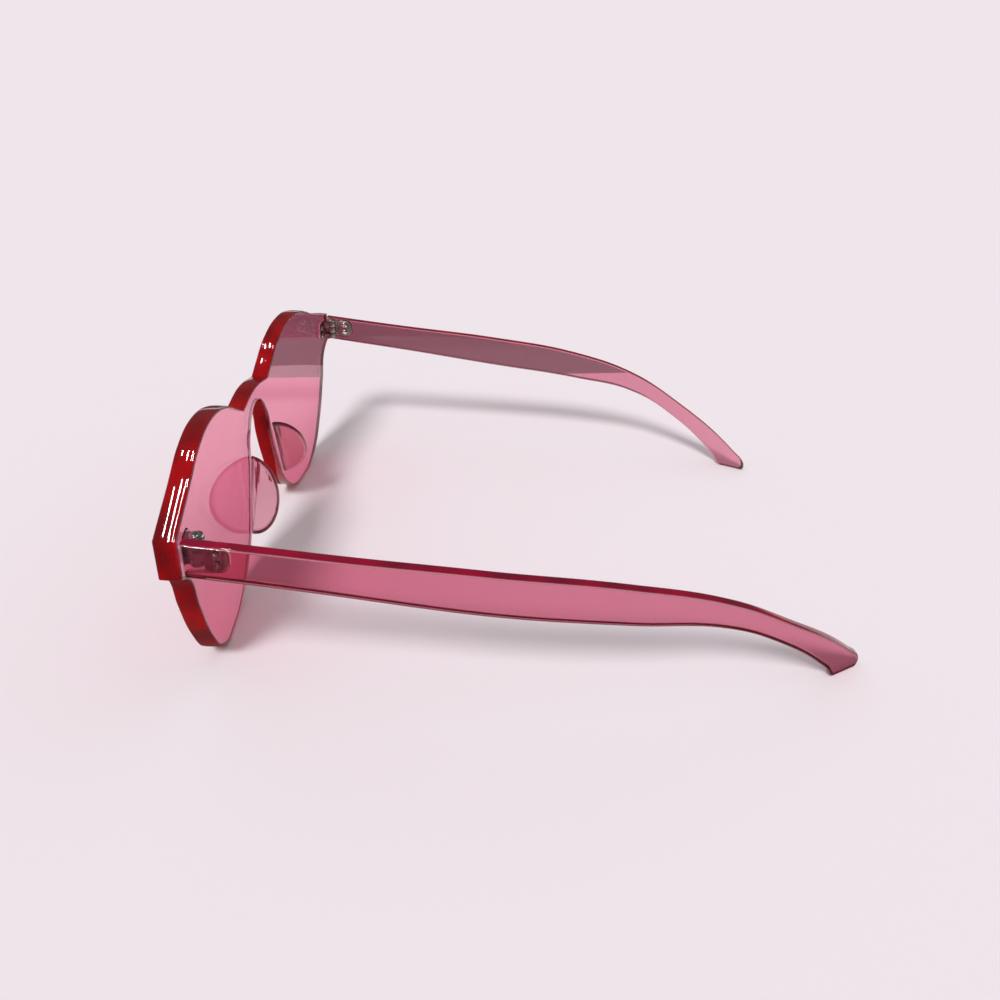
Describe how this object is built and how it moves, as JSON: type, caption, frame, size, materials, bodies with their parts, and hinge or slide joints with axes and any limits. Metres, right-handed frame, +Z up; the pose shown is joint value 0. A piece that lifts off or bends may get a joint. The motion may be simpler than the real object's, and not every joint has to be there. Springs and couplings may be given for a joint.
{
  "type": "sunglasses",
  "caption": "Round sunglasses with a one-piece tinted clear front, nose pads and two folding temples on small metal hinges.",
  "frame": {"origin": "on the table, under the middle of the open sunglasses' box", "axes": "+X to the wearer's left across the symmetric front, +Y back along the temples, +Z up"},
  "size_m": [0.1414, 0.1544, 0.0532],
  "materials": {
    "front_plastic": "gloss",
    "temple_plastic": "gloss",
    "pad_plastic": "gloss",
    "leaf_metal": "satin",
    "screw_metal": "gloss"
  },
  "bodies": {
    "front": {"front_plate": "front_plastic", "nose_pad_left": "pad_plastic", "nose_pad_right": "pad_plastic", "hinge_front_leaf_left": "leaf_metal", "hinge_front_leaf_right": "leaf_metal", "front_leaf_screw_left_upper": "screw_metal", "front_leaf_screw_left_lower": "screw_metal", "front_leaf_screw_right_upper": "screw_metal", "front_leaf_screw_right_lower": "screw_metal", "pivot_screw_left": "screw_metal", "pivot_screw_right": "screw_metal"},
    "left_temple": {"temple_left": "temple_plastic", "hinge_temple_leaf_left": "leaf_metal", "temple_leaf_screw_left_upper": "screw_metal", "temple_leaf_screw_left_lower": "screw_metal"},
    "right_temple": {"temple_right": "temple_plastic", "hinge_temple_leaf_right": "leaf_metal", "temple_leaf_screw_right_upper": "screw_metal", "temple_leaf_screw_right_lower": "screw_metal"}
  },
  "joints": [
    {"name": "left_temple_fold", "type": "hinge", "parent": "front", "child": "left_temple", "pos_m": [0.0656, -0.06617, 0.0401], "axis": [0, 0, 1], "range_deg": [0, 87]},
    {"name": "right_temple_fold", "type": "hinge", "parent": "front", "child": "right_temple", "pos_m": [-0.0656, -0.06617, 0.0401], "axis": [0, 0, -1], "range_deg": [0, 81]}
  ]
}
